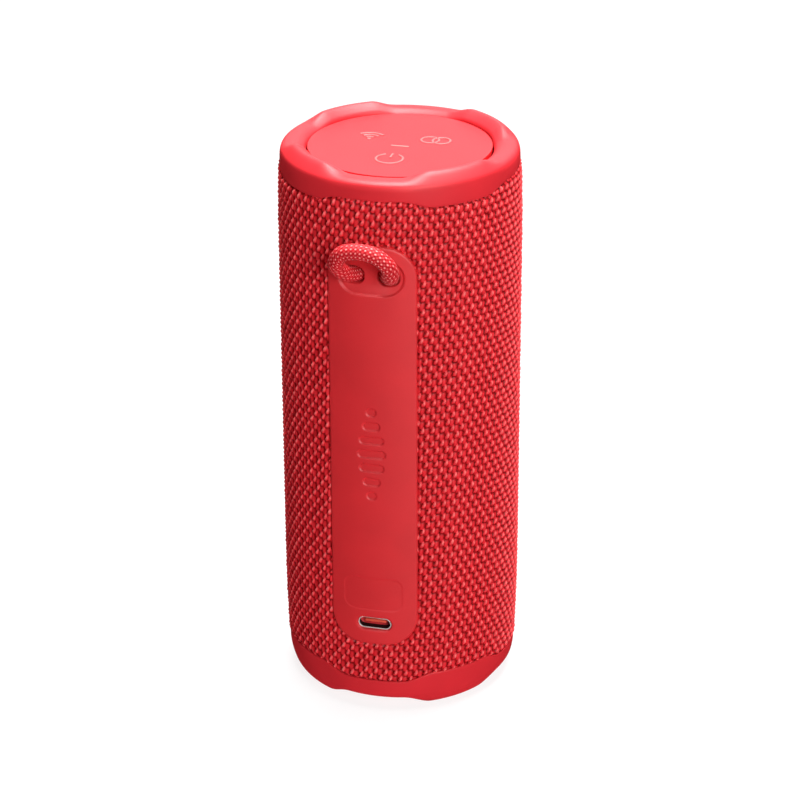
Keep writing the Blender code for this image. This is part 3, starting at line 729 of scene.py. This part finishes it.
def filled(name, outer, holes, z_low, z_high):
    """A flat plate with holes: its top and bottom filled between the outlines, and walls along each."""
    shape = bmesh.new()
    rims = []
    for z in (z_high, z_low):
        edges = []
        for outline in [outer, *holes]:
            ring = [shape.verts.new((x, y, z)) for x, y in outline]
            edges += [shape.edges.new((ring[i], ring[(i + 1) % len(ring)])) for i in range(len(ring))]
            rims.append(ring)
        bmesh.ops.triangle_fill(shape, use_beauty=True, use_dissolve=False, edges=edges)
    half = len(rims) // 2
    for top, bottom in zip(rims[:half], rims[half:]):
        for i in range(len(top)):
            k = (i + 1) % len(top)
            shape.faces.new((top[i], top[k], bottom[k], bottom[i]))
    bmesh.ops.recalc_face_normals(shape, faces=shape.faces)
    mesh = bpy.data.meshes.new(name)
    shape.to_mesh(mesh)
    shape.free()
    mesh.shade_smooth()
    mesh.set_sharp_from_angle(angle=SHARP_PLATE)
    return link(name, mesh)


KEY_GAP = 0.02 * MM
KEY_SIDES = 96
PANEL_SIDES = 240
LIGHT_HALF_WIDTH = 0.3 * MM
LIGHT_RISE = 0.05 * MM
PANEL_LINE_WIDTH = 0.62 * MM
PANEL_LINE_RISE = 0.2 * MM


def on_panel(u, v, rise):
    return (u, v, PANEL_TOP + rise)


def top_panel():
    """The panel, its three keys flush in it, the light strip, and the raised symbols."""
    rubber = moulded("panel_rubber", PANEL_COLOR, 0.5, gloss=0.4)
    raised = moulded("symbol_rubber", SYMBOL_COLOR, 0.45)
    holes = []
    for node, body in TOP_KEYS.items():
        x, y, _ = middle_of(node)
        radius = half_of(node)[0]
        holes.append(circle((x, y), radius, KEY_SIDES))
        face = circle((x, y), radius - KEY_GAP, KEY_SIDES)
        key = filled(node + "_face", face, [], PANEL_LOW[2], PANEL_TOP)
        dress(key, rubber, body, [node])
    light = "led_light_guide"
    slot = racetrack(middle_of(light), half_of(light)[0], LIGHT_HALF_WIDTH, 9)
    rim = circle((0, 0), PANEL_R, PANEL_SIDES)
    panel = filled("panel_face", rim, [*holes, slot], PANEL_LOW[2], PANEL_TOP)
    dress(panel, rubber, replaces=["top_panel"])
    strip = filled("light_strip", slot, [], PANEL_LOW[2], PANEL_TOP + LIGHT_RISE)
    dress(strip, moulded("light_strip", LIGHT_COLOR, 0.4), replaces=[light])
    for name, node, strokes in top_symbols():
        symbol(name, strokes, on_panel, PANEL_LINE_WIDTH, PANEL_LINE_RISE, raised, TOP_KEYS[node])


def top_symbols():
    """The keys' raised symbols: (name, key, strokes)."""
    x, y, _ = middle_of("power_key")
    open_ring = arc((x, y), 3.9 * MM, 120, 420, 60)
    bar = [(x, y + 0.9 * MM), (x, y + 4.2 * MM)]
    power = [(open_ring, False), (bar, False)]
    x, y, _ = middle_of("pairing_key")
    source = (x, y - 2.4 * MM)
    waves = [(arc(source, radius * MM, 45, 135, 24), False) for radius in (1.6, 3.3, 5.0)]
    waves.append((circle(source, 0.3 * MM, 12), True))
    x, y, _ = middle_of("link_key")
    rings = [(circle((x + side * 1.7 * MM, y), 2.6 * MM, 48), True) for side in (-1, 1)]
    return [("power_symbol", "power_key", power), ("pairing_symbol", "pairing_key", waves),
            ("link_symbol", "link_key", rings)]


# ---------------------------------------------------------------- spine

SPINE_STEP = 0.21 * MM
SPINE_MARGIN = 0.5 * MM
EDGE_ROUND = 0.7 * MM
EDGE_DROP = 0.8 * MM
EDGE_FALL = 0.3 * MM


def spine():
    """The silicone spine as a fine relief: soft edges, sunk bars, the loop's pocket and the port's hole."""
    reach = math.asin((PLATE_HALF_WIDTH + SPINE_MARGIN) / PLATE_R)
    across = int(2 * reach * PLATE_R / SPINE_STEP)
    rows = int((PLATE_HIGH[2] - PLATE_LOW[2] + 2 * SPINE_MARGIN) / SPINE_STEP)
    bearing = np.linspace(-reach, reach, across + 1)[:, None]
    z = np.linspace(PLATE_LOW[2] - SPINE_MARGIN, PLATE_HIGH[2] + SPINE_MARGIN, rows + 1)[None, :]
    x = PLATE_R * np.sin(bearing)
    radius = PLATE_R + 0 * x + 0 * z
    edge = -plate_edge(x, z)
    soft = np.clip(1 - edge / EDGE_ROUND, 0, 1)
    radius -= EDGE_ROUND * (1 - np.sqrt(np.clip(1 - soft**2, 0, 1)))
    radius -= EDGE_DROP * smoothstep(-edge / EDGE_FALL)
    radius -= sunk_bars(x, z) + label_field(x, z) + pocket(x, z) + port_hole(x, z)
    points = on_cylinder(bearing + 0 * z, radius, z)
    plate = grid_object("spine", points, normals=grid_normals(points))
    silicone = moulded("spine_silicone", SPINE_COLOR, 0.58, grain=0.006 * MM, gloss=1.0)
    dress(plate, silicone, replaces=["rear_plate", "loop_anchor"])


BAR_HALF_LENGTHS = [1.5 * MM, 2.6 * MM, 3.7 * MM, 4.2 * MM, 3.7 * MM, 2.6 * MM, 1.5 * MM]
BAR_HALF_HEIGHT = 1.25 * MM
BAR_CORNER = 1.2 * MM
BAR_DEPTH = 0.4 * MM
BAR_SLOPE = 0.36 * MM
BARS_LOW = 73.0 * MM
BARS_HIGH = 100.0 * MM


def sunk_bars(x, z):
    """A row of sunk bars across the spine, like a level meter turned on its side."""
    depth = 0 * x + 0 * z
    pitch = (BARS_HIGH - BARS_LOW) / (len(BAR_HALF_LENGTHS) - 1)
    for i, half_length in enumerate(BAR_HALF_LENGTHS):
        off = round_box(x, z, (0, BARS_LOW + i * pitch), (half_length, BAR_HALF_HEIGHT), BAR_CORNER)
        depth = np.maximum(depth, BAR_DEPTH * smoothstep(0.5 - off / BAR_SLOPE))
    return depth


LABEL_HEIGHT = 40.0 * MM
LABEL_HALF = (8.9 * MM, 5.4 * MM)
LABEL_CORNER = 3.0 * MM
LABEL_DEPTH = 0.12 * MM
LABEL_SLOPE = 0.5 * MM


def label_field(x, z):
    """A very shallow rounded rectangle above the port."""
    off = round_box(x, z, (0, LABEL_HEIGHT), LABEL_HALF, LABEL_CORNER)
    return LABEL_DEPTH * smoothstep(0.5 - off / LABEL_SLOPE)


# Room round the pieces that stand in the spine
FIT_GAP = 0.1 * MM
POCKET_RIM_DEPTH = 0.75 * MM
POCKET_RIM_SLOPE = 0.45 * MM
POCKET_DISH_DEPTH = 0.6 * MM
POCKET_DISH_REACH = 3.5 * MM
MOUTH_OFFSET = 5.3 * MM
MOUTH_HALF = (3.1 * MM, 2.5 * MM)
MOUTH_CORNER = 2.3 * MM
MOUTH_DEPTH = 4.2 * MM
MOUTH_SLOPE = 0.5 * MM


def hole_box(node, x, z):
    """Distance to the edge of the round-ended hole in the spine for a node: negative inside."""
    middle = middle_of(node)
    half = half_of(node)
    half_height = half[2] + FIT_GAP
    return round_box(x, z, (middle[0], middle[2]), (half[0] + FIT_GAP, half_height), half_height)


def pocket(x, z):
    """The dished pocket behind the loop, with a mouth on each side of the bridge."""
    off = hole_box("loop_anchor", x, z)
    rim = POCKET_RIM_DEPTH * smoothstep(0.5 - off / POCKET_RIM_SLOPE)
    dish = POCKET_DISH_DEPTH * smoothstep(-off / POCKET_DISH_REACH)
    mouths = 0 * dish
    for side in (-1, 1):
        centre = (side * MOUTH_OFFSET, middle_of("loop_anchor")[2])
        gap = round_box(x, z, centre, MOUTH_HALF, MOUTH_CORNER)
        mouths = np.maximum(mouths, MOUTH_DEPTH * smoothstep(0.5 - gap / MOUTH_SLOPE))
    return rim + dish + mouths


PORT_HOLE_DEPTH = 3.0 * MM
PORT_HOLE_SLOPE = 0.3 * MM
PORT_LIP_DEPTH = 0.15 * MM
PORT_LIP_REACH = 0.9 * MM


def port_hole(x, z):
    """The racetrack hole that the charging port stands in, with a soft lip."""
    off = hole_box("charge_port_shell", x, z)
    hole = PORT_HOLE_DEPTH * smoothstep(0.5 - off / PORT_HOLE_SLOPE)
    lip = PORT_LIP_DEPTH * smoothstep(1 - off / PORT_LIP_REACH)
    return hole + lip


# ---------------------------------------------------------------- charging port

PORT_WALL = 0.28 * MM
PORT_STEPS = 24
TONGUE_STEPS = 8


def racetrack_tube(name, node, sections, steps):
    """A racetrack tube round the port's middle, through sections of (inset from the node's outline, Y)."""
    middle = middle_of("charge_port_shell")
    half = half_of(node)
    rows = []
    for inset, y in sections:
        outline = racetrack((middle[0], middle[2]), half[0] - inset, half[2] - inset, steps)
        rows.append([(u, y, v) for u, v in np.vstack([outline, outline[:1]])])
    piece = grid_object(name, np.array(rows))
    weld(piece)
    return piece


def charging_port():
    """A thin metal lip, a liner and back painted dark for the shade inside the port, and the contact tongue.
    """
    shell = "charge_port_shell"
    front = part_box(shell)[0][1]
    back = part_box(shell)[1][1]
    mouth = (PORT_WALL, front + 0.25 * MM)
    outside = [(0.0, back), (0.0, front + 0.12 * MM), (0.04 * MM, front + 0.03 * MM)]
    rim = [(0.12 * MM, front), (PORT_WALL - 0.05 * MM, front + 0.05 * MM), mouth]
    lip = racetrack_tube("port_shell", shell, outside + rim, PORT_STEPS)
    metal = moulded("port_metal", srgb(236, 226, 222), 0.3, metallic=0.3)
    dress(lip, metal, replaces=[shell])
    # Painted shade: the port's inner wall and back are coloured near black for the shade deep in the hole
    dark = moulded("port_painted_shade", srgb(26, 12, 12), 0.6, gloss=0.2)
    liner = racetrack_tube("port_liner", shell, [mouth, (PORT_WALL, back)], PORT_STEPS)
    dress(liner, dark)
    middle = middle_of(shell)
    half = half_of(shell)
    outline = racetrack((middle[0], middle[2]), half[0] - PORT_WALL / 2, half[2] - PORT_WALL / 2, PORT_STEPS)
    points = [(u, back - 0.2 * MM, v) for u, v in outline]
    rear = mesh_from("port_back", points, [tuple(range(len(points)))])
    dress(rear, dark)
    tongue_node = "charge_port_tongue"
    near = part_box(tongue_node)[0][1]
    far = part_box(tongue_node)[1][1]
    sections = [(0.3 * MM, near), (0.12 * MM, near), (0.0, near + 0.12 * MM), (0.0, far)]
    tongue = racetrack_tube("port_tongue", tongue_node, sections, TONGUE_STEPS)
    plastic = moulded("tongue_plastic", srgb(255, 96, 74), 0.4)
    dress(tongue, plastic, replaces=[tongue_node])


# ---------------------------------------------------------------- front keys and base

DOME_RISE = 0.5 * MM
DOME_RIM = 0.45 * MM
SIGN_REACH = 1.7 * MM
SIGN_LINE_WIDTH = 0.55 * MM
SIGN_LINE_RISE = 0.16 * MM
# From the wall to the middle: (share of the radius, rise in millimetres)
KEY_PROFILE = [
    (1.0, -6.0),
    (1.0, -0.3),
    (0.985, -0.08),
    (0.95, 0.0),
    (0.8, 0.0),
    (0.6, 0.0),
    (0.4, 0.0),
    (0.2, 0.0),
    (0.002, 0.0),
]
BASE_PROFILE = [
    (1.0, 1.6),
    (1.0, 0.3),
    (0.99, 0.08),
    (0.975, 0.0),
    (0.7, 0.0),
    (0.68, 0.2),
    (0.3, 0.2),
    (0.001, 0.2),
]


def turned_disc(name, profile, radius, sides, place):
    """A round piece from its profile; place turns (u, v, rise) into a point in space."""
    turn = np.linspace(0, 2 * math.pi, sides + 1)
    rows = []
    for share, rise in profile:
        reach = radius * share
        rows.append([place(reach * math.cos(a), reach * math.sin(a), rise * MM) for a in turn])
    disc = grid_object(name, np.array(rows))
    weld(disc)
    return disc


def front_keys():
    """Rubber keys that stand in the sleeve, each with a raised sign on its domed face."""
    rubber = moulded("key_rubber", RUBBER_COLOR, 0.5)
    raised = moulded("key_sign_rubber", SYMBOL_COLOR, 0.45)
    for node, body in FRONT_KEYS.items():
        x, y, z = middle_of(node)
        bearing = math.atan2(x, -y)
        radius = half_of(node)[2]
        outward = np.array([math.sin(bearing), -math.cos(bearing), 0])
        side = np.array([math.cos(bearing), math.sin(bearing), 0])

        def on_key(u, v, rise):
            dome = DOME_RISE * (1 - (u * u + v * v) / radius**2)
            return tuple(outward * (FABRIC_R - DOME_RIM + dome + rise) + side * u + np.array([0, 0, z + v]))

        key = turned_disc(node + "_cap", KEY_PROFILE, radius, 64, on_key)
        dress(key, rubber, body, [node])
        symbol(node + "_sign", key_sign(node), on_key, SIGN_LINE_WIDTH, SIGN_LINE_RISE, raised, body)


def key_sign(node):
    """Strokes of a minus, a play triangle or a plus."""
    if node == "play_key":
        corners = [(-0.6 * SIGN_REACH, -SIGN_REACH), (SIGN_REACH, 0.0), (-0.6 * SIGN_REACH, SIGN_REACH)]
        return [(corners, True)]
    level = [(share * SIGN_REACH, 0.0) for share in (-1.0, -0.5, 0.0, 0.5, 1.0)]
    if node == "volume_up_key":
        return [(level, False), ([(v, u) for u, v in level], False)]
    return [(level, False)]


def base():
    """The rubber base disc inside the foot."""
    low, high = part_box("bottom_plate")

    def on_base(u, v, rise):
        return (u, v, low[2] + rise)

    disc = turned_disc("base_disc", BASE_PROFILE, high[0], 120, on_base)
    dress(disc, moulded("base_rubber", RUBBER_COLOR, 0.55), replaces=["bottom_plate"])


# ---------------------------------------------------------------- carried-over CAD nodes

METALS = ("brushed_steel", "chrome", "brass")


def finish_cad_nodes():
    """Every CAD node that still shows gets a grained material in its slot's colour."""
    record = frame["record"]
    slots = {row["slot"]: row for row in record["materials"]}
    made = {}
    for row in record["subparts"]:
        slot = row["material_slot"]
        if slot not in made:
            color = (*slots[slot]["base_color"][:3], 1.0)
            metallic = 1.0 if slots[slot]["class"] in METALS else 0.0
            roughness = 0.4 if metallic else 0.5
            made[slot] = moulded("inner_" + slot, color, roughness, metallic=metallic)
        node = frame["nodes"][row["node"]]
        node.data.materials.clear()
        node.data.materials.append(made[slot])


# ---------------------------------------------------------------- floor and light

FLOOR_HALF = 6.0
FLOOR_TONES = [(0.3, (0.12, 0.12, 0.12, 1)), (0.7, (0.15, 0.15, 0.15, 1))]
FLOOR_GLOW = 0.85
WORLD_GLOW = 0.9
LIGHT_TARGET = (0, 0, 0.09)


def pale_floor():
    """A plain floor that is bright to the camera only: it gives no light to the object."""
    corners = [(x * FLOOR_HALF, y * FLOOR_HALF, 0) for x, y in ((-1, -1), (1, -1), (1, 1), (-1, 1))]
    floor = mesh_from("floor", corners, [(0, 1, 2, 3)], smooth=False)
    material, nodes, links, shader = new_material("pale_floor")
    grain = noise(nodes, links, object_place(nodes), 30.0)
    links.new(ramp(nodes, links, grain, FLOOR_TONES), shader.inputs["Base Color"])
    shader.inputs["Roughness"].default_value = 0.9
    shader.inputs["Emission Color"].default_value = (1, 1, 1, 1)
    shader.inputs["Emission Strength"].default_value = FLOOR_GLOW
    floor.data.materials.append(material)
    floor.visible_glossy = False
    floor.visible_diffuse = False
    floor.visible_shadow = False


def soft_box(name, place, size, power):
    """A rectangular light that faces the object."""
    data = bpy.data.lights.new(name, "AREA")
    data.shape = "RECTANGLE"
    data.size, data.size_y = size
    data.energy = power
    lamp = bpy.data.objects.new(name, data)
    lamp.location = place
    lamp.rotation_euler = (Vector(LIGHT_TARGET) - Vector(place)).to_track_quat("-Z", "Y").to_euler()
    bpy.context.scene.collection.objects.link(lamp)
    return lamp


def studio():
    """Soft boxes overhead, at the back and to the front right, and a glow from below.

    The glow stands for the light that a pale floor gives back. It doesn't show in gloss.
    """
    pale_floor()
    soft_box("top_light", (0.04, 0.16, 1.1), (0.6, 0.6), 30.0)
    soft_box("back_light", (-0.3, 1.3, 0.6), (1.2, 0.6), 3.0)
    soft_box("key_light", (0.70, -0.96, 0.62), (0.45, 0.6), 11.8)
    bounce = soft_box("floor_bounce", (0, 0, -0.01), (3.0, 3.0), 24.0)
    bounce.visible_glossy = False
    bounce.data.cycles.use_multiple_importance_sampling = False
    world = bpy.data.worlds.new("studio_world")
    bpy.context.scene.world = world
    world.use_nodes = True
    background = world.node_tree.nodes["Background"]
    background.inputs["Color"].default_value = (1, 1, 1, 1)
    background.inputs["Strength"].default_value = WORLD_GLOW
    world.cycles_visibility.diffuse = False
    world.cycles_visibility.glossy = False
    bpy.context.scene.view_settings.view_transform = "Standard"


# ---------------------------------------------------------------- the speaker

RUBBER_COLOR = srgb(212, 42, 50)
SPINE_COLOR = srgb(214, 40, 46)
PANEL_COLOR = srgb(224, 36, 44)
SYMBOL_COLOR = srgb(255, 100, 100)
LIGHT_COLOR = srgb(255, 120, 116)

carry_loop()
finish_cad_nodes()
woven_sleeve()
cap_rubber = moulded("cap_rubber", RUBBER_COLOR, 0.5, gloss=0.42)
lobed_cap("top_cap", TOP_PROFILE, "top_cap_ring", cap_rubber)
lobed_cap("foot", BOTTOM_PROFILE, "foot_ring", cap_rubber)
top_panel()
spine()
charging_port()
front_keys()
base()
studio()
